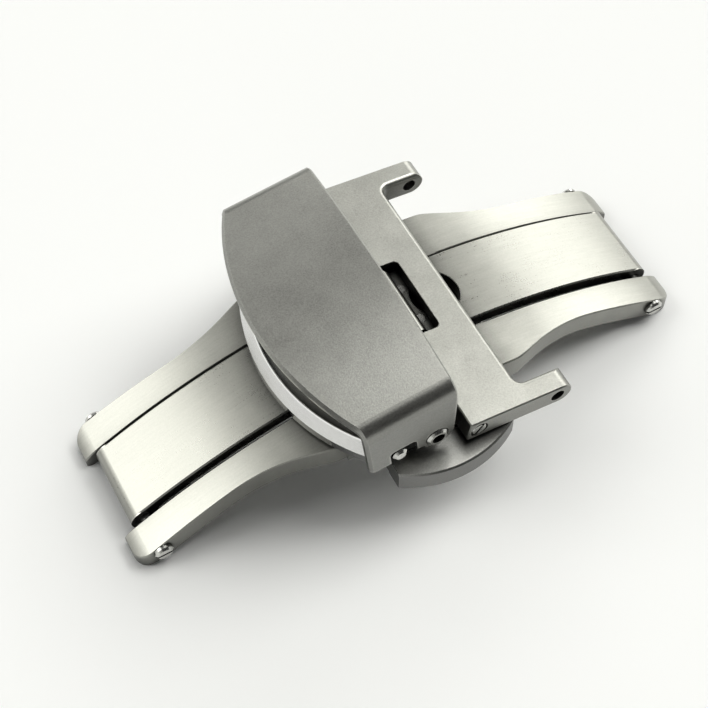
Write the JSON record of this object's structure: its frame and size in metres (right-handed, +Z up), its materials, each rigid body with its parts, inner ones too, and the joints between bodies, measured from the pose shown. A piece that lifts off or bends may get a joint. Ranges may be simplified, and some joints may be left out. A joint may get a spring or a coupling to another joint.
{
  "type": "butterfly clasp",
  "caption": "Folding strap clasp in matte steel: arched wings hinged in a pronged base, side push buttons, a hinged D-shaped strap cover and a slotted bar with strap lugs.",
  "frame": {"origin": "centre of the bounding box at its bottom, on the surface that the prongs stand on", "axes": "+X along the strap towards the lug bar, +Y across the strap towards the back button, +Z up, away from the wrist"},
  "size_m": [0.0428, 0.0234, 0.0142],
  "materials": {
    "frame_steel": "bead-blasted matte steel with faint brushing along the prongs",
    "arm_steel": "satin steel brushed along the arch",
    "cover_steel": "fine bead-blasted matte steel",
    "inner_steel": "plain milled steel inside the housing",
    "pin_steel": "turned steel with bright domed ends",
    "spring_steel": "drawn spring wire"
  },
  "bodies": {
    "base": {"base_frame": "frame_steel", "left_hinge_pin": "pin_steel", "right_hinge_pin": "pin_steel", "keeper_plate": "inner_steel", "keeper_screws": "pin_steel"},
    "left_wing": {"left_arm": "arm_steel", "left_catch_hook": "inner_steel", "left_hook_rivets": "pin_steel", "strap_floor": "frame_steel", "floor_rivets": "pin_steel", "strap_post": "pin_steel", "flap_hinge_tube": "pin_steel", "flap_catch_pins": "pin_steel"},
    "flap": {"flap_cover": "cover_steel"},
    "right_wing": {"right_arm": "arm_steel", "right_catch_hook": "inner_steel", "right_hook_rivets": "pin_steel"},
    "lug_bar_assembly": {"lug_bar": "frame_steel", "lug_bar_pin": "pin_steel", "lug_bar_screws": "pin_steel"},
    "front_button": {"button_front": "frame_steel", "springs_front": "spring_steel"},
    "back_button": {"button_back": "frame_steel", "springs_back": "spring_steel"}
  },
  "joints": [
    {"name": "left_fold", "type": "hinge", "parent": "base", "child": "left_wing", "pos_m": [-0.0195, 0, 0.0014], "axis": [0, -1, 0], "range_deg": [0, 150]},
    {"name": "right_fold", "type": "hinge", "parent": "base", "child": "right_wing", "pos_m": [0.0195, 0, 0.0014], "axis": [0, 1, 0], "range_deg": [0, 150]},
    {"name": "flap_open", "type": "hinge", "parent": "left_wing", "child": "flap", "pos_m": [-0.00135, 0, 0.00824], "axis": [0, 1, 0], "range_deg": [0, 40]},
    {"name": "lug_bar_tilt", "type": "hinge", "parent": "right_wing", "child": "lug_bar_assembly", "pos_m": [0.00148, 0, 0.00752], "axis": [0, -1, 0], "range_deg": [0, 45]},
    {"name": "front_press", "type": "slide", "parent": "base", "child": "front_button", "axis": [0, 1, 0], "range_m": [0, 0.0008], "stiffness_N_per_m": 1500, "springref_m": -0.0004, "deforming": ["springs_front"]},
    {"name": "back_press", "type": "slide", "parent": "base", "child": "back_button", "axis": [0, -1, 0], "range_m": [0, 0.0008], "stiffness_N_per_m": 1500, "springref_m": -0.0004, "deforming": ["springs_back"]}
  ]
}
